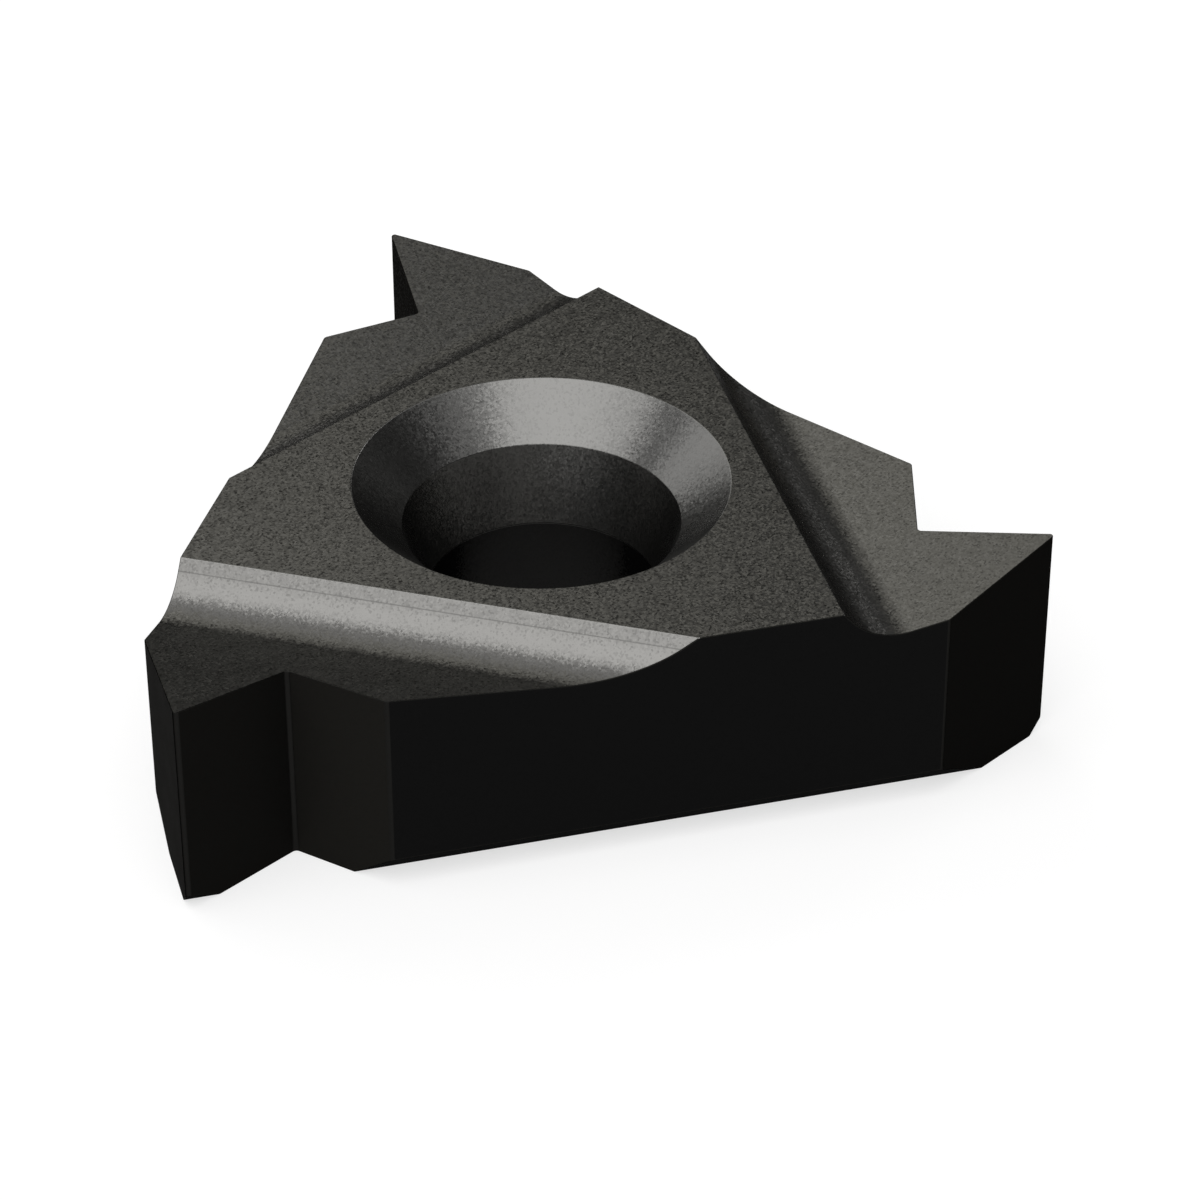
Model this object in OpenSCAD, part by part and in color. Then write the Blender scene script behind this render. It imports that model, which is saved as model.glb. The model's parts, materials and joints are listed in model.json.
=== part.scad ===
// Thread turning insert: a triangular blank with a thread tooth ground at each
// corner, a chip face behind every tooth and a screw hole through the middle.
// It is for right-hand external threads. Lengths are in millimetres and angles
// in degrees.
//
// The hole's axis is Z and the seat is the plane z = 0. The first tooth points
// along +X, beside the long wall that faces -Y. The other two are the same
// tooth turned about Z.

/* [Blank] */
// Diameter of the circle that touches the three long walls
inscribed_d = 9.525; // [8.5:0.005:12.7]
// Height of the flat top above the seat
thickness = 3.76; // [3.2:0.01:6]
// Width and height of the bevel between each long wall and the seat
seat_bevel = 0.5; // [0.1:0.05:0.8]
// Rounding of the upright edge where a long wall meets ground metal
edge_r = 0.1; // [0.02:0.01:0.2]

/* [Tooth] */
// Angle between the two flanks, seen square to the chip face
thread_angle = 60; // [50:0.5:65]
// Distance from the sharp tip back to the long wall beside the tooth
tip_inset = 1.25; // [0.9:0.01:1.6]
// Distance from the sharp tip to the long wall around the corner
tip_clear = 0.175; // [0.05:0.005:0.4]
// Reach of the tooth from its root to the sharp tip
tooth_depth = 1.875; // [1.2:0.005:2.2]
// Angle of the shoulder beyond the root, from square to the tooth
shoulder_angle = 15; // [5:0.5:25]
// Radius of the tip
nose_r = 0.06; // [0.02:0.01:0.15]
// Radius in the root beside the shoulder
root_r = 0.08; // [0.02:0.01:0.2]

/* [Chip face] */
// Rise of the chip face towards the tip
rake_angle = 10; // [4:0.5:14]
// Drop from the flat top to the sharp tip
tip_drop = 0.015; // [0:0.005:0.2]
// Narrowest strip of flat top between the head seat and a groove
land_w = 0.515; // [0.3:0.005:0.8]
// Slope of the groove's steep wall below the flat top
groove_wall_angle = 50; // [40:1:65]
// Radius along the bottom of the groove
groove_r = 1; // [0.4:0.02:1.2]

/* [Screw hole] */
// Diameter of the head seat at the flat top
head_d = 5.98; // [5.4:0.02:6.4]
// Angle of the head seat's cone, across the hole
head_angle = 90; // [80:1:100]
// Diameter of the head seat's small end
throat_d = 4.42; // [4:0.02:5]
// Diameter of the plain bore
bore_d = 3.65; // [3:0.05:3.9]
// Length of the plain bore, from the seat up to the taper
bore_len = 1.69; // [0.8:0.01:2]

/* [Hidden] */

corners = 3;
corner_angle = 360 / corners;
// Overshoot of every cut past the surface that it leaves through
past = 0.5;
// Longest stretch of metal that a cut runs across
span = 3 * inscribed_d;
arc_steps = 8;
round_fn = 128;

wall = inscribed_d / 2;
groove_x = head_d / 2 + land_w;
// The flanks open out in plan, because the chip face that they cross is tilted
half_angle = atan(tan(thread_angle / 2) / cos(rake_angle));

function heading(a) = [cos(a), sin(a)];
function cross2(a, b) = a[0] * b[1] - a[1] * b[0];
function turned(p, a) = [p[0] * cos(a) - p[1] * sin(a), p[0] * sin(a) + p[1] * cos(a)];

// Where the line from p along d comes to the given distance in direction n
function reach_line(p, d, n, distance) = p + d * (distance - n * p) / (n * d);

// The two long walls at the first corner, as outward directions
this_wall = heading(-90);
next_wall = heading(-90 + corner_angle);

// Corners of the first tooth in plan, in order round the outline
tip = reach_line([0, tip_inset - wall], [1, 0], next_wall, wall - tip_clear);
outer_start = reach_line(tip, heading(180 + half_angle), this_wall, wall);
root = reach_line(tip, heading(180 - half_angle), [1, 0], tip[0] - tooth_depth);
shoulder_end = reach_line(root, heading(90 - shoulder_angle), next_wall, wall);

tooth_points = [outer_start, tip, root, shoulder_end];
tooth_radii = [edge_r, nose_r, root_r, edge_r];

// Points of the arc that rounds the corner at b, on the way from a to c
function rounded(a, b, c, r) =
    let (
        in = (b - a) / norm(b - a),
        out = (c - b) / norm(c - b),
        turn = atan2(cross2(in, out), in * out),
        side = sign(turn),
        start = b - in * r * tan(abs(turn) / 2),
        centre = start + turned(in, 90 * side) * r
    )
    [for (i = [0:arc_steps]) centre + turned(start - centre, turn * i / arc_steps)];

// Every corner of the whole outline, before any is rounded
sharp = [for (k = [0:corners - 1]) each [for (p = tooth_points) turned(p, k * corner_angle)]];

function rounded_outline() =
    let (n = len(sharp))
    [for (i = [0:n - 1])
        each rounded(sharp[(i + n - 1) % n], sharp[i], sharp[(i + 1) % n], tooth_radii[i % len(tooth_radii)])];

// Height of the chip face at a distance from the hole's axis
function chip_z(x) = thickness - tip_drop - (tip[0] - x) * tan(rake_angle);

// The steep wall of the groove runs down from the flat top to this corner
groove_foot_x = groove_x + (thickness - chip_z(groove_x)) / (tan(groove_wall_angle) + tan(rake_angle));
groove_foot = [groove_foot_x, chip_z(groove_foot_x)];
groove_wall_len = norm(groove_foot - [groove_x, thickness]);
groove_turn = groove_wall_angle + rake_angle;
// The arc at the foot can't start above the wall that it blends with
foot_r = min(groove_r, groove_wall_len / tan(groove_turn / 2));
foot_reach = foot_r * tan(groove_turn / 2);
foot_centre = groove_foot - foot_reach * heading(-groove_wall_angle) + foot_r * heading(90 - groove_wall_angle);

throat_z = thickness - (head_d - throat_d) / 2 / tan(head_angle / 2);

module repeat_corners() {
    for (k = [0:corners - 1])
        rotate([0, 0, k * corner_angle]) children();
}

// Section of one groove and chip face: what is cut away, in x and z
module groove_section() {
    far = tip[0] + past;
    up = thickness + past;
    polygon([
        [groove_x - past / tan(groove_wall_angle), up],
        groove_foot - foot_reach * heading(-groove_wall_angle),
        groove_foot + foot_reach * heading(rake_angle),
        [far, chip_z(far)],
        [far, up]
    ]);
    translate(foot_centre) circle(foot_r, $fn = round_fn);
}

module chip_grooves() {
    repeat_corners()
        rotate([90, 0, 0])
            linear_extrude(height = span, center = true) groove_section();
}

// The bevels run straight along the walls, so each one also trims the tooth
// that stands closest to its wall
module seat_bevels() {
    repeat_corners()
        rotate([90, 0, 90])
            linear_extrude(height = span, center = true)
                polygon([
                    [-wall - past, seat_bevel + past],
                    [-wall - past, -past],
                    [-wall + seat_bevel + past, -past]
                ]);
}

// Seat for a screw's cone head, a taper below it and the plain bore
module screw_hole() {
    rotate_extrude($fn = round_fn)
        polygon([
            [0, -past],
            [bore_d / 2, -past],
            [bore_d / 2, bore_len],
            [throat_d / 2, throat_z],
            [head_d / 2 + past * tan(head_angle / 2), thickness + past],
            [0, thickness + past]
        ]);
}

module insert() {
    color("#33322f")
        difference() {
            linear_extrude(height = thickness) polygon(rounded_outline());
            chip_grooves();
            seat_bevels();
            screw_hole();
        }
}

insert();
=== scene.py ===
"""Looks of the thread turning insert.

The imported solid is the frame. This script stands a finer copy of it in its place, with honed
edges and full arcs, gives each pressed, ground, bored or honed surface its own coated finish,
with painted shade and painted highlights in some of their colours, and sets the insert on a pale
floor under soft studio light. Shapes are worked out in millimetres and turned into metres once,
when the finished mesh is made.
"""

import json
import logging
import math
from dataclasses import dataclass, field
from enum import Enum
from typing import Callable, Iterable, Sequence

import bmesh
import bpy
from mathutils import Matrix, Vector

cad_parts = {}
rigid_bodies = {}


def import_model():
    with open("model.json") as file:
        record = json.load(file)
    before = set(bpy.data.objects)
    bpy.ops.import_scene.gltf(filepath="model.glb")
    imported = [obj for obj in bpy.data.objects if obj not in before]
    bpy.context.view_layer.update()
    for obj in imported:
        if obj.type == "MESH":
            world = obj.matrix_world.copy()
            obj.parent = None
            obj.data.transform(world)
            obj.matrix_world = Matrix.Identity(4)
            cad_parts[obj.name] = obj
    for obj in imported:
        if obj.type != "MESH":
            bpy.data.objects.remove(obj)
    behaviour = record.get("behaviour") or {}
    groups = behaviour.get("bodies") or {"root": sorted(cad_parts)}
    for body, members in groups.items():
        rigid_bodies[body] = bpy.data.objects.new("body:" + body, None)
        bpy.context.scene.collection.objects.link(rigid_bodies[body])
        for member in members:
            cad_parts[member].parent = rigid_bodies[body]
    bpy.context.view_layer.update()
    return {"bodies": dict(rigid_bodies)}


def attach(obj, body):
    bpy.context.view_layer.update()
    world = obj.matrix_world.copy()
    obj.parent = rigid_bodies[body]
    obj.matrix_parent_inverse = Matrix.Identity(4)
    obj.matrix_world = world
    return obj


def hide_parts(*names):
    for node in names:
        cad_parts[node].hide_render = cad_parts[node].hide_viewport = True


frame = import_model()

log = logging.getLogger("insert_scene")

MM = 0.001
NODE = "insert"
CORNERS = 3
CORNER_ANGLE = 360 / CORNERS
# How far every cutter runs past the surface that it leaves through
PAST = 0.5
# Turn between two points of an arc, on the outline and in a groove, and the steps round the hole
OUTLINE_STEP = 5.0
GROOVE_STEP = 2.0
HOLE_STEPS = 240
# Even a short arc has this many chords
FEWEST_CHORDS = 2
# Sockets of a Mix node that mixes two colours
MIX_FACTOR = 0
MIX_A = 6
MIX_B = 7
MIX_RESULT = 2

Point = tuple[float, float, float]
Face = tuple[int, ...]
Colour = tuple[float, float, float]


class Region(Enum):
    """How each part of the surface was made, which picks its finish, painted shade and highlights included.
    """

    PLATEAU = 0
    GROOVE = 1
    # A painted shade line along a groove, where its steep wall runs into its arc
    LINE = 2
    CHIP = 3
    SEAT = 4
    # The edge where the taper runs into the plain bore
    RIM = 5
    BORED = 6
    WALL = 7
    FLANK = 8
    SHOULDER = 9
    ROUNDED = 10
    HONED = 11


# Plane geometry


def slope(angle: float) -> float:
    """Rise for each unit of run at an angle in degrees."""
    return math.tan(math.radians(angle))


def heading(angle: float) -> Vector:
    """Unit vector in the plane at an angle in degrees."""
    return Vector((math.cos(math.radians(angle)), math.sin(math.radians(angle))))


def turned(point: Vector, angle: float) -> Vector:
    """The point turned about the origin by an angle in degrees."""
    across, along = heading(angle)
    return Vector((point.x * across - point.y * along, point.x * along + point.y * across))


def furthest(vector: Vector, angle: float) -> float:
    """The largest share of a vector along a direction that repeats at every corner."""
    return max(vector.xy.dot(heading(k * CORNER_ANGLE + angle)) for k in range(CORNERS))


def reach_line(start: Vector, along: Vector, normal: Vector, distance: float) -> Vector:
    """Where a line comes to a straight edge.

    Args:
        start: A point of the line.
        along: Its direction.
        normal: Unit direction square to the edge.
        distance: How far the edge lies from the origin in that direction.

    Returns:
        The crossing point.
    """
    return start + along * ((distance - start.dot(normal)) / along.dot(normal))


def round_corner(before: Vector, corner: Vector, after: Vector, radius: float, step: float) -> list[Vector]:
    """Points of the arc that rounds a corner of an outline.

    Args:
        before: The corner before it.
        corner: The corner to round.
        after: The corner after it.
        radius: Radius of the arc.
        step: Turn between two points of the arc, in degrees.

    Returns:
        The arc's points, in the order of the outline.
    """
    into, out = (corner - before).normalized(), (after - corner).normalized()
    cross = into.x * out.y - into.y * out.x
    turn = math.degrees(math.atan2(cross, into.dot(out)))
    start = corner - into * radius * slope(abs(turn) / 2)
    centre = start + turned(into, math.copysign(90, turn)) * radius
    count = max(FEWEST_CHORDS, round(abs(turn) / step))
    return [centre + turned(start - centre, turn * i / count) for i in range(count + 1)]


# Meshes in millimetres


def placed(name: str, data: bpy.types.ID) -> bpy.types.Object:
    """A new object in the scene.

    Args:
        name: Name of the object.
        data: The mesh, lamp or camera that it holds.

    Returns:
        The object.
    """
    made = bpy.data.objects.new(name, data)
    bpy.context.scene.collection.objects.link(made)
    return made


def mesh_object(name: str, points: Iterable[Sequence[float]], faces: Iterable[Face]) -> bpy.types.Object:
    """A new object in the scene, from points and faces.

    Args:
        name: Name of the object and its mesh.
        points: Vertex positions.
        faces: Vertex numbers of each face, counter-clockwise from outside.

    Returns:
        The object.
    """
    mesh = bpy.data.meshes.new(name)
    mesh.from_pydata([tuple(p) for p in points], [], [tuple(f) for f in faces])
    mesh.validate()
    return placed(name, mesh)


def prism(name: str, outline: Sequence[Sequence[float]], place: Callable[[float, float, float], Point],
          low: float, high: float) -> bpy.types.Object:
    """A straight bar with the given outline.

    Args:
        name: Name of the object.
        outline: Corners of its section.
        place: Puts a corner's two coordinates and its height along the bar in space.
        low: Where the bar starts.
        high: Where it ends.

    Returns:
        The object.
    """
    count = len(outline)
    points = [place(a, b, low) for a, b in outline] + [place(a, b, high) for a, b in outline]
    sides = [(i, (i + 1) % count, (i + 1) % count + count, i + count) for i in range(count)]
    ends = [tuple(reversed(range(count))), tuple(range(count, 2 * count))]
    made = mesh_object(name, points, sides + ends)
    face_outwards(made.data)
    return made


def face_outwards(mesh: bpy.types.Mesh) -> None:
    """Turns every face of a closed mesh to the outside.

    Args:
        mesh: The mesh, which is changed.
    """
    shell = bmesh.new()
    shell.from_mesh(mesh)
    bmesh.ops.recalc_face_normals(shell, faces=shell.faces)
    shell.to_mesh(mesh)
    shell.free()


def baked(source: bpy.types.Object, name: str) -> bpy.types.Object:
    """Applies an object's modifiers.

    Args:
        source: The object, which is removed.
        name: Name of the object that takes its place.

    Returns:
        An object that holds the finished mesh and has no modifiers.
    """
    graph = bpy.context.evaluated_depsgraph_get()
    mesh = bpy.data.meshes.new_from_object(source.evaluated_get(graph), depsgraph=graph)
    mesh.name = name
    bpy.data.objects.remove(source)
    return placed(name, mesh)


# The insert


@dataclass
class Blank:
    """The triangular blank and the bevels under its long walls."""

    # Diameter of the circle that touches the three long walls
    inscribed_d: float = 9.525
    thickness: float = 3.76
    # Width and height of the bevel between each long wall and the seat
    seat_bevel: float = 0.5
    # Rounding of the upright edge where a long wall meets ground metal
    edge_r: float = 0.1

    @property
    def wall(self) -> float:
        """Distance from the hole's axis to each long wall."""
        return self.inscribed_d / 2

    @property
    def span(self) -> float:
        """Half the length of a cutter, three walls' distances, which clears the blank's corners."""
        return 3 * self.wall

    def bevel_cutter(self, corner: int) -> bpy.types.Object:
        """The bar that cuts one seat bevel.

        Args:
            corner: Number of the corner whose wall it runs along.

        Returns:
            The cutter.
        """
        section = [
            (-self.wall - PAST, self.seat_bevel + PAST),
            (-self.wall - PAST, -PAST),
            (-self.wall + self.seat_bevel + PAST, -PAST),
        ]

        def place(across: float, up: float, along: float) -> Point:
            """Stands the section square to the wall."""
            x, y = turned(Vector((along, across)), corner * CORNER_ANGLE)
            return x, y, up

        return prism("bevel_cutter", section, place, -self.span, self.span)


@dataclass
class ThreadTooth:
    """The ground tooth at each corner, with its root and shoulder, in plan."""

    blank: Blank
    # Rise of the chip face towards the tip, and the angle between the flanks seen square to it
    rake_angle: float = 10.0
    thread_angle: float = 60.0
    # Distance from the sharp tip to the wall beside the tooth, and to the wall around the corner
    tip_inset: float = 1.25
    tip_clear: float = 0.175
    # Reach of the tooth from its root to the sharp tip
    tooth_depth: float = 1.875
    # Lean of the shoulder beyond the root, from square to the tooth
    shoulder_angle: float = 15.0
    nose_r: float = 0.06
    root_r: float = 0.08

    @property
    def half_angle(self) -> float:
        """Half the flanks' angle in plan, which the tilted chip face opens out."""
        tilt = math.cos(math.radians(self.rake_angle))
        return math.degrees(math.atan(slope(self.thread_angle / 2) / tilt))

    @property
    def tip(self) -> Vector:
        """The sharp tip of the first tooth."""
        start, far = Vector((0, self.tip_inset - self.blank.wall)), self.blank.wall - self.tip_clear
        return reach_line(start, heading(0), heading(CORNER_ANGLE - 90), far)

    def corners(self) -> list[tuple[Vector, float]]:
        """Corners of the first tooth before they are rounded.

        Returns:
            Each sharp corner with its radius, in order round the outline.
        """
        wall, edge_r = self.blank.wall, self.blank.edge_r
        root_x = self.tip.x - self.tooth_depth
        outer = reach_line(self.tip, heading(180 + self.half_angle), heading(-90), wall)
        root = reach_line(self.tip, heading(180 - self.half_angle), heading(0), root_x)
        shoulder = reach_line(root, heading(90 - self.shoulder_angle), heading(CORNER_ANGLE - 90), wall)
        return [(outer, edge_r), (self.tip, self.nose_r), (root, self.root_r), (shoulder, edge_r)]

    def outline(self) -> list[Vector]:
        """The whole outline of the insert with every corner rounded.

        Returns:
            Its points, counter-clockwise.
        """
        first = self.corners()
        angles = [k * CORNER_ANGLE for k in range(CORNERS)]
        sharp = [(turned(corner, angle), radius) for angle in angles for corner, radius in first]
        points: list[Vector] = []
        for i, (corner, radius) in enumerate(sharp):
            before, after = sharp[i - 1][0], sharp[(i + 1) % len(sharp)][0]
            points += round_corner(before, corner, after, radius, OUTLINE_STEP)
        return points


@dataclass
class ScrewHole:
    """The seat for a screw's cone head, the taper below it and the plain bore."""

    blank: Blank
    head_d: float = 5.98
    head_angle: float = 90.0
    # Diameter of the head seat's small end, where the taper starts
    throat_d: float = 4.42
    bore_d: float = 3.65
    bore_len: float = 1.69

    def cutter(self) -> bpy.types.Object:
        """The turned plug that cuts the hole.

        Returns:
            The cutter.
        """
        top, spread = self.blank.thickness, slope(self.head_angle / 2)
        throat_z = top - (self.head_d - self.throat_d) / 2 / spread
        rings = [
            (self.bore_d / 2, -PAST),
            (self.bore_d / 2, self.bore_len),
            (self.throat_d / 2, throat_z),
            (self.head_d / 2 + PAST * spread, top + PAST),
        ]
        circle = [heading(360 * i / HOLE_STEPS) for i in range(HOLE_STEPS)]
        points = [(*(direction * radius), z) for radius, z in rings for direction in circle]
        faces: list[Face] = []
        for ring in range(len(rings) - 1):
            for i in range(HOLE_STEPS):
                a, b = ring * HOLE_STEPS + i, ring * HOLE_STEPS + (i + 1) % HOLE_STEPS
                faces.append((a, b, b + HOLE_STEPS, a + HOLE_STEPS))
        last = (len(rings) - 1) * HOLE_STEPS
        faces += [tuple(reversed(range(HOLE_STEPS))), tuple(range(last, last + HOLE_STEPS))]
        return mesh_object("hole_cutter", points, faces)


@dataclass
class ChipFace:
    """The tilted chip face of each tooth and the groove behind it."""

    blank: Blank
    tooth: ThreadTooth
    hole: ScrewHole
    # Drop from the flat top to the sharp tip
    tip_drop: float = 0.015
    # Narrowest strip of flat top between the head seat and a groove
    land_w: float = 0.515
    groove_wall_angle: float = 50.0
    groove_r: float = 1.0
    # Width of the painted shade line where the steep wall runs into the arc
    shade_line_w: float = 0.02

    @property
    def groove_x(self) -> float:
        """Distance from the hole's axis to the groove's upper edge."""
        return self.hole.head_d / 2 + self.land_w

    @property
    def far_x(self) -> float:
        """Distance from the hole's axis to the cutter's far side."""
        return self.tooth.tip.x + PAST

    def height(self, x: float) -> float:
        """Height of the chip face at a distance from the hole's axis."""
        rise = slope(self.tooth.rake_angle)
        return self.blank.thickness - self.tip_drop - (self.tooth.tip.x - x) * rise

    def groove_floor(self) -> list[Vector]:
        """The groove's bottom, from the foot of its steep wall to the chip face.

        Returns:
            Points in distance from the axis and height, the first two being the painted shade line's ends.
        """
        top, end = self.blank.thickness, Vector((self.far_x, self.height(self.far_x)))
        slopes = slope(self.groove_wall_angle) + slope(self.tooth.rake_angle)
        foot_x = self.groove_x + (top - self.height(self.groove_x)) / slopes
        edge, foot = Vector((self.groove_x, top)), Vector((foot_x, self.height(foot_x)))
        points = round_corner(edge, foot, end, self.groove_r, GROOVE_STEP)
        points.insert(1, points[0] + (points[1] - points[0]).normalized() * self.shade_line_w)
        return points

    def zone(self, centre: Vector) -> Region:
        """Which part of the groove or the chip face a face belongs to.

        Args:
            centre: The middle of the face, in millimetres.

        Returns:
            The painted shade line, the rest of the groove or the flat chip face.
        """
        shade_line_start, shade_line_end, *_, arc_end = self.groove_floor()
        out = furthest(centre, 0)
        if shade_line_start.x < out < shade_line_end.x:
            return Region.LINE
        return Region.GROOVE if out < arc_end.x else Region.CHIP

    def cutter(self, corner: int) -> bpy.types.Object:
        """The bar that cuts one groove and chip face.

        Args:
            corner: Number of the corner.

        Returns:
            The cutter.
        """
        above = self.blank.thickness + PAST
        rim = (self.groove_x - PAST / slope(self.groove_wall_angle), above)
        section = [rim, *self.groove_floor(), (self.far_x, self.height(self.far_x)), (self.far_x, above)]

        def place(out: float, up: float, along: float) -> Point:
            """Stands the section square to the groove."""
            x, y = turned(Vector((out, along)), corner * CORNER_ANGLE)
            return x, y, up

        return prism("groove_cutter", section, place, -self.blank.span, self.blank.span)


@dataclass
class Insert:
    """The whole insert: its solid, its honed edges and its finishes."""

    blank: Blank = field(default_factory=Blank)
    tooth: ThreadTooth = field(init=False)
    hole: ScrewHole = field(init=False)
    chip_face: ChipFace = field(init=False)
    hone_w: float = 0.012
    hone_steps: int = 3
    # Edges that turn less than this stay as they are, such as those between two chords of an arc
    hone_limit: float = 10.0
    # How much the large faces set the shading beside an edge, from 1 to 100
    large_face_weight: int = 100
    # Upward share of a face's normal on the plateau, and below which it was ground or bored
    flat_slope: float = 0.999
    ground_slope: float = 0.3
    bored_slope: float = 0.1
    # Widest upright face that is part of a rounding, and how near an edge its hone lies
    rounding_w: float = 0.02
    near: float = 0.03

    def __post_init__(self) -> None:
        """Fits the tooth, the hole and the chip face to the blank."""
        self.tooth = ThreadTooth(self.blank)
        self.hole = ScrewHole(self.blank)
        self.chip_face = ChipFace(self.blank, self.tooth, self.hole)

    def solid(self) -> bpy.types.Object:
        """The insert with sharp edges.

        Returns:
            An object in millimetres.
        """

        def upright(x: float, y: float, z: float) -> Point:
            """Leaves a point of the plan where it is."""
            return x, y, z

        body = prism("sharp_insert", self.tooth.outline(), upright, 0, self.blank.thickness)
        cutters = [self.hole.cutter()]
        for corner in range(CORNERS):
            cutters += [self.chip_face.cutter(corner), self.blank.bevel_cutter(corner)]
        for cutter in cutters:
            cut = body.modifiers.new(cutter.name, "BOOLEAN")
            cut.operation, cut.solver, cut.object = "DIFFERENCE", "EXACT", cutter
        made = baked(body, "cut_insert")
        for cutter in cutters:
            bpy.data.objects.remove(cutter)
        return made

    def region(self, face: bpy.types.MeshPolygon) -> Region:
        """How a face was made, which picks its finish, painted shade and highlights included.

        Args:
            face: A face of the sharp insert, in millimetres.

        Returns:
            Its region.
        """
        centre, normal = face.center, face.normal
        if normal.z > self.flat_slope:
            return Region.PLATEAU
        if normal.z < -self.bored_slope:
            return Region.WALL
        if centre.xy.length < self.hole.head_d / 2 and centre.xy.dot(normal.xy) < 0:
            return Region.SEAT if normal.z > self.bored_slope else Region.BORED
        if normal.z > self.ground_slope:
            return self.chip_face.zone(centre)
        if face.area < self.rounding_w * self.blank.thickness:
            return Region.ROUNDED
        if abs(furthest(centre, -90) - self.blank.wall) < self.near:
            return Region.WALL
        on_shoulder = furthest(normal, -self.tooth.shoulder_angle) > self.flat_slope
        return Region.SHOULDER if on_shoulder else Region.FLANK

    def honed_region(self, face: bpy.types.MeshPolygon) -> Region:
        """What the strip along an edge belongs to: pressed edges keep their neighbour's finish.

        Args:
            face: A face of a rounded edge, in millimetres.

        Returns:
            Its region.
        """
        centre = face.center
        if centre.xy.length < self.hole.head_d / 2 + self.near:
            if abs(centre.z - self.hole.bore_len) < self.near:
                return Region.RIM
            return Region.SEAT if centre.z > self.near else Region.HONED
        at_groove = abs(furthest(centre, 0) - self.chip_face.groove_x) < self.near
        return Region.GROOVE if at_groove and centre.z > self.blank.thickness - self.near else Region.HONED

    def build(self) -> bpy.types.Object:
        """Makes the finished piece, in metres.

        Returns:
            The piece, with one material index for each region.
        """
        sharp = self.solid()
        for face in sharp.data.polygons:
            face.material_index = self.region(face).value
            face.use_smooth = True
        for _ in Region:
            sharp.data.materials.append(None)
        hone = sharp.modifiers.new("hone", "BEVEL")
        hone.width, hone.segments = self.hone_w, self.hone_steps
        hone.limit_method, hone.angle_limit = "ANGLE", math.radians(self.hone_limit)
        hone.use_clamp_overlap = False
        hone.material = Region.HONED.value
        smooth = sharp.modifiers.new("smooth", "WEIGHTED_NORMAL")
        smooth.mode, smooth.weight, smooth.keep_sharp = "FACE_AREA", self.large_face_weight, False
        piece = baked(sharp, "insert_body")
        for face in piece.data.polygons:
            if face.material_index == Region.HONED.value:
                face.material_index = self.honed_region(face).value
        piece.data.transform(Matrix.Scale(MM, 4))
        return piece


# Finishes


def grey(level: float) -> Colour:
    """A grey of the given level."""
    return level, level, level


def opaque(colour: Colour) -> tuple[float, float, float, float]:
    """A colour with full alpha, as a shader's socket takes it."""
    return (*colour, 1.0)


@dataclass(frozen=True)
class Finish:
    """One finish of the coated carbide, with the gloss of a pressed and blasted surface."""

    name: str
    colour: Colour
    metallic: float = 1.0
    roughness: float = 0.3
    roughness_spread: float = 0.03
    # How much darker the dark grains are, and how far the grains lean
    speck: float = 0.05
    lean: float = 0.03


@dataclass(frozen=True)
class CutFinish(Finish):
    """The finish of a surface that was ground, bored or honed."""

    roughness: float = 0.38
    roughness_spread: float = 0.05


FINISHES: dict[Region, Finish] = {
    Region.PLATEAU: Finish("blasted_top", (0.197, 0.194, 0.187), speck=0.5, lean=0.14),
    Region.GROOVE: Finish("pressed_groove", (0.187, 0.184, 0.177), speck=0.16, lean=0.15),
    # A darker strip of the groove's colour, painted shade along the seam of steep wall and arc
    Region.LINE: Finish("painted_shade_line", (0.13, 0.128, 0.123), lean=0.1),
    Region.CHIP: Finish("pressed_chip_face", (0.202, 0.199, 0.19), speck=0.36, lean=0.11),
    Region.SEAT: Finish("pressed_seat", (0.177, 0.175, 0.169), speck=0.08, lean=0.11),
    Region.RIM: Finish("bore_rim", (0.05, 0.049, 0.047), roughness=0.33, lean=0.05),
    # Bored finish; its near-black colour is painted shade, for the shade down the hole
    Region.BORED: CutFinish(
        "bored_finish_painted_shade", (0.012, 0.0118, 0.0115), metallic=0.8, roughness=0.36, speck=0.1, lean=0.1
    ),
    # Ground sides, the same coating as the top: their far darker colours are painted shade. The flank's
    # warm tint is painted warm light, and the shoulder's lighter level is painted light on a side that the
    # tooth beside it shades.
    Region.WALL: CutFinish("ground_wall_painted_shade", grey(0.0091), metallic=0.1),
    Region.FLANK: CutFinish("ground_flank_painted_shade_and_light", (0.0107, 0.0103, 0.0095), metallic=0.25),
    Region.SHOULDER: CutFinish("ground_shoulder_painted_shade_and_light", (0.0157, 0.015, 0.0135), metallic=0.2),
    # Upright rounded edges, lighter and glossier than the sides: a painted highlight along each rounding
    Region.ROUNDED: CutFinish("rounded_corner_painted_highlight", (0.0135, 0.0132, 0.0125), metallic=0.8, roughness=0.36),
    # Honed edges, lighter than the sides beside them: a painted highlight along each edge
    Region.HONED: CutFinish("honed_edge_painted_highlight", (0.02, 0.0195, 0.018), roughness=0.36),
}


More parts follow.
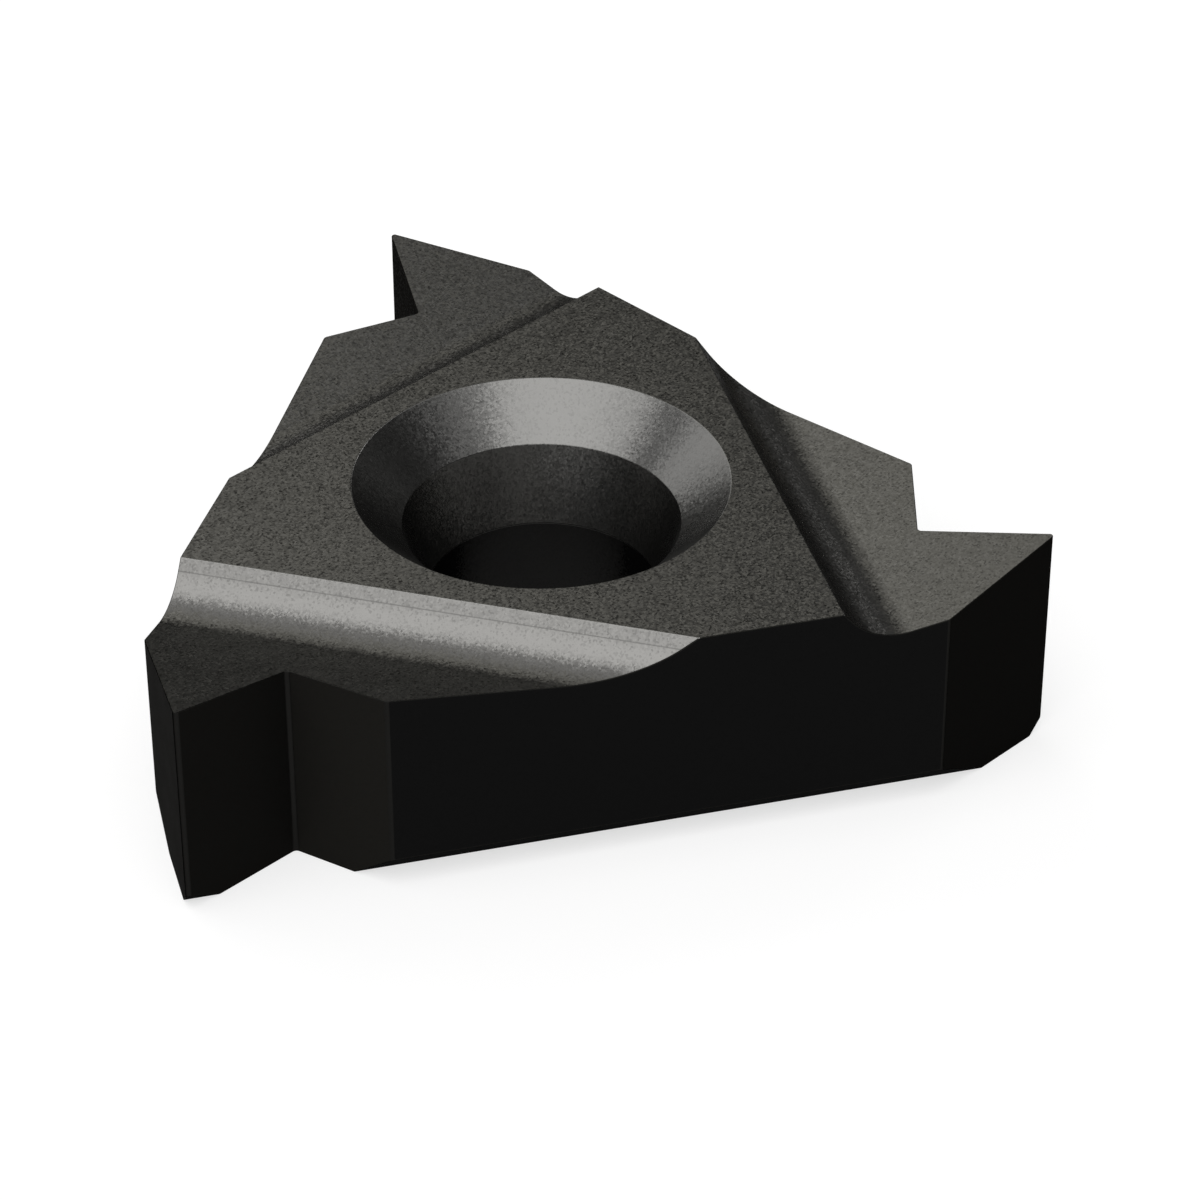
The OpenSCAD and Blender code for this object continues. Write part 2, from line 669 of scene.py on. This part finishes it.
@dataclass
class CoatingShop:
    """Builds the grain that all finishes share, and a material for each."""

    # Size of one grain and one patch of the coating, in metres
    grain: float = 0.03 * MM
    patch: float = 0.6 * MM
    # How many finer layers a patch has, and how strong each is against the one before
    patch_detail: float = 3.0
    patch_rough: float = 0.55
    # Share of the grains that are dark, and the soft step at its limit
    dark_share: float = 0.15
    dark_step: float = 0.02
    # Middle of the random colour that each grain takes its lean from
    middle: float = 0.5
    # Grey of the metal's gloss at a grazing view
    edge_tint: float = 0.1

    def grain_group(self) -> bpy.types.ShaderNodeTree:
        """The shared grain: scattered dark grains, soft patches, and a lean of its own for each grain.

        Returns:
            A group with the input Lean, and the outputs Speck, Patch and Normal.
        """
        tree = bpy.data.node_groups.new("coating_grain", "ShaderNodeTree")
        tree.interface.new_socket("Lean", in_out="INPUT", socket_type="NodeSocketFloat")
        tree.interface.new_socket("Speck", in_out="OUTPUT", socket_type="NodeSocketFloat")
        tree.interface.new_socket("Patch", in_out="OUTPUT", socket_type="NodeSocketFloat")
        tree.interface.new_socket("Normal", in_out="OUTPUT", socket_type="NodeSocketVector")
        nodes, links = tree.nodes, tree.links
        given, out = nodes.new("NodeGroupInput"), nodes.new("NodeGroupOutput")
        place, surface = nodes.new("ShaderNodeTexCoord"), nodes.new("ShaderNodeNewGeometry")
        patches, grains = nodes.new("ShaderNodeTexNoise"), nodes.new("ShaderNodeTexVoronoi")
        patches.inputs["Scale"].default_value = 1 / self.patch
        patches.inputs["Detail"].default_value = self.patch_detail
        patches.inputs["Roughness"].default_value = self.patch_rough
        grains.inputs["Scale"].default_value = 1 / self.grain
        for texture in (patches, grains):
            links.new(place.outputs["Object"], texture.inputs["Vector"])
        chance, speck = nodes.new("ShaderNodeSeparateXYZ"), nodes.new("ShaderNodeMapRange")
        links.new(grains.outputs["Color"], chance.inputs["Vector"])
        speck.inputs["From Min"].default_value = self.dark_share - self.dark_step
        speck.inputs["From Max"].default_value = self.dark_share + self.dark_step
        speck.inputs["To Min"].default_value = 1.0
        speck.inputs["To Max"].default_value = 0.0
        links.new(chance.outputs["Z"], speck.inputs["Value"])
        links.new(speck.outputs["Result"], out.inputs["Speck"])
        links.new(patches.outputs["Fac"], out.inputs["Patch"])
        centred, lean, unit = (nodes.new("ShaderNodeVectorMath") for _ in range(3))
        centred.operation, lean.operation, unit.operation = "SUBTRACT", "MULTIPLY_ADD", "NORMALIZE"
        centred.inputs[1].default_value = grey(self.middle)
        links.new(grains.outputs["Color"], centred.inputs[0])
        links.new(centred.outputs["Vector"], lean.inputs[0])
        links.new(given.outputs["Lean"], lean.inputs[1])
        links.new(surface.outputs["Normal"], lean.inputs[2])
        links.new(lean.outputs["Vector"], unit.inputs[0])
        links.new(unit.outputs["Vector"], out.inputs["Normal"])
        return tree

    def material(self, finish: Finish, grain: bpy.types.ShaderNodeTree) -> bpy.types.Material:
        """One finish as a material.

        Args:
            finish: Its colours and strengths.
            grain: The shared grain group.

        Returns:
            The material.
        """
        made = bpy.data.materials.new(finish.name)
        made.use_nodes = True
        nodes, links = made.node_tree.nodes, made.node_tree.links
        shader = nodes["Principled BSDF"]
        shader.inputs["Metallic"].default_value = finish.metallic
        shader.inputs["Specular IOR Level"].default_value = 0.0
        shader.inputs["Specular Tint"].default_value = opaque(grey(self.edge_tint))
        texture = nodes.new("ShaderNodeGroup")
        texture.node_tree = grain
        texture.inputs["Lean"].default_value = finish.lean
        red, green, blue = (share * (1 - finish.speck) for share in finish.colour)
        colour = nodes.new("ShaderNodeMix")
        colour.data_type = "RGBA"
        colour.inputs[MIX_A].default_value = opaque(finish.colour)
        colour.inputs[MIX_B].default_value = opaque((red, green, blue))
        links.new(texture.outputs["Speck"], colour.inputs[MIX_FACTOR])
        links.new(colour.outputs[MIX_RESULT], shader.inputs["Base Color"])
        rough = nodes.new("ShaderNodeMapRange")
        rough.inputs["To Min"].default_value = finish.roughness - finish.roughness_spread
        rough.inputs["To Max"].default_value = finish.roughness + finish.roughness_spread
        links.new(texture.outputs["Patch"], rough.inputs["Value"])
        links.new(rough.outputs["Result"], shader.inputs["Roughness"])
        links.new(texture.outputs["Normal"], shader.inputs["Normal"])
        return made

    def coat(self, piece: bpy.types.Object) -> None:
        """Gives a piece one material for each region.

        Args:
            piece: The insert, whose material indices are its regions.
        """
        grain = self.grain_group()
        for region, finish in FINISHES.items():
            piece.data.materials[region.value] = self.material(finish, grain)
            log.info("finish %s on %s", finish.name, piece.name)


# Studio


@dataclass(frozen=True)
class Lamp:
    """A round soft lamp far from the insert, by the direction that it stands in, in degrees."""

    name: str
    azimuth: float
    elevation: float
    width: float
    strength: float
    colour: Colour = grey(1.0)

    def hang(self) -> bpy.types.Object:
        """Puts the lamp in the scene.

        Returns:
            The lamp.
        """
        data = bpy.data.lights.new(self.name, "SUN")
        data.angle, data.energy, data.color = math.radians(self.width), self.strength, self.colour
        made = placed(self.name, data)
        flat = heading(self.azimuth) * math.cos(math.radians(self.elevation))
        towards = Vector((flat.x, flat.y, math.sin(math.radians(self.elevation))))
        made.rotation_euler = towards.to_track_quat("Z", "Y").to_euler()
        return made


@dataclass
class Studio:
    """The pale floor, the soft light and the even surroundings."""

    # Radius of the floor in metres, and the number of its corners
    floor_r: float = 1.5
    floor_steps: int = 72
    # Keeps the floor clear of the seat face, which would show through it from below
    floor_drop: float = 0.005 * MM
    # What the floor throws back of the light that falls on it, and what it shines by itself
    floor_colour: float = 0.4
    floor_glow: float = 0.65
    sky_level: float = 0.035
    lamps: tuple[Lamp, ...] = (
        Lamp("key", azimuth=-132, elevation=53, width=81, strength=2.12),
        Lamp("low_back", azimuth=122, elevation=22, width=60, strength=1.0),
        Lamp("back", azimuth=89, elevation=42, width=31, strength=0.11, colour=(1.0, 0.98, 0.88)),
        Lamp("top", azimuth=-68, elevation=82, width=86, strength=0.83),
        Lamp("rim", azimuth=39, elevation=33, width=14, strength=0.18),
        Lamp("low_rim", azimuth=42, elevation=12, width=50, strength=0.035),
    )

    def floor_paint(self) -> bpy.types.Material:
        """The floor's material, which looks white to the camera and in reflections.

        Returns:
            The material.
        """
        paint = bpy.data.materials.new("floor_paint")
        paint.use_nodes = True
        nodes, links = paint.node_tree.nodes, paint.node_tree.links
        shader = nodes["Principled BSDF"]
        shader.inputs["Base Color"].default_value = opaque(grey(self.floor_colour))
        shader.inputs["Roughness"].default_value = 1.0
        shader.inputs["Specular IOR Level"].default_value = 0.0
        shader.inputs["Emission Strength"].default_value = 1.0
        ray = nodes.new("ShaderNodeLightPath")
        seen = ray.outputs["Is Camera Ray"]
        for name in ("Is Glossy Ray", "Is Transmission Ray"):
            either = nodes.new("ShaderNodeMath")
            either.operation = "MAXIMUM"
            links.new(seen, either.inputs[0])
            links.new(ray.outputs[name], either.inputs[1])
            seen = either.outputs["Value"]
        glow = nodes.new("ShaderNodeMix")
        glow.data_type = "RGBA"
        glow.inputs[MIX_A].default_value = opaque(grey(0.0))
        glow.inputs[MIX_B].default_value = opaque(grey(self.floor_glow))
        links.new(seen, glow.inputs[MIX_FACTOR])
        links.new(glow.outputs[MIX_RESULT], shader.inputs["Emission Color"])
        return paint

    def build(self) -> None:
        """Lays the floor, hangs the lamps and sets the surroundings."""
        directions = [heading(360 * i / self.floor_steps) for i in range(self.floor_steps)]
        rim = [(*(direction * self.floor_r), -self.floor_drop) for direction in directions]
        floor = mesh_object("floor", rim, [tuple(range(self.floor_steps))])
        floor.data.materials.append(self.floor_paint())
        for lamp in self.lamps:
            lamp.hang()
        world = bpy.data.worlds.new("studio")
        world.use_nodes = True
        sky = world.node_tree.nodes["Background"]
        sky.inputs["Color"].default_value = opaque(grey(1.0))
        sky.inputs["Strength"].default_value = self.sky_level
        bpy.context.scene.world = world


@dataclass
class Camera:
    """The photograph's camera, in millimetres and degrees."""

    azimuth: float = -14.757
    elevation: float = 35.208
    roll: float = -0.136
    # How far the camera stands back from the hole's foot, and to the right of it and above it
    distance: float = 71.03
    across: float = 0.918
    rise: float = 1.172
    lens: float = 131.25
    sensor: float = 36.0
    # Nothing nearer to the camera than this is drawn
    nearest: float = 1.0

    def build(self) -> bpy.types.Object:
        """Places the camera and makes it the scene's.

        Returns:
            The camera.
        """
        flat = heading(self.azimuth)
        right = Vector((flat.x, flat.y, 0))
        tilt = heading(self.elevation)
        back = Vector((flat.y * tilt.x, -flat.x * tilt.x, tilt.y))
        up = back.cross(right)
        lean = heading(self.roll)
        right, up = right * lean.x + up * lean.y, up * lean.x - right * lean.y
        data = bpy.data.cameras.new("camera")
        data.lens, data.sensor_width, data.sensor_fit = self.lens, self.sensor, "HORIZONTAL"
        data.clip_start = self.nearest * MM
        made = placed("camera", data)
        place = (right * self.across + up * self.rise + back * self.distance) * MM
        made.matrix_world = Matrix.Translation(place) @ Matrix((right, up, back)).transposed().to_4x4()
        bpy.context.scene.camera = made
        return made


def main() -> None:
    """Builds the camera, the studio and the insert in turn."""
    logging.basicConfig(level=logging.INFO, format="%(name)s: %(message)s")
    bpy.context.scene.view_settings.view_transform = "Standard"
    Camera().build()
    Studio().build()
    piece = Insert().build()
    CoatingShop().coat(piece)
    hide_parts(NODE)
    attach(piece, next(iter(frame["bodies"])))
    log.info("%s: %d faces", piece.name, len(piece.data.polygons))


if __name__ == "__main__":
    main()
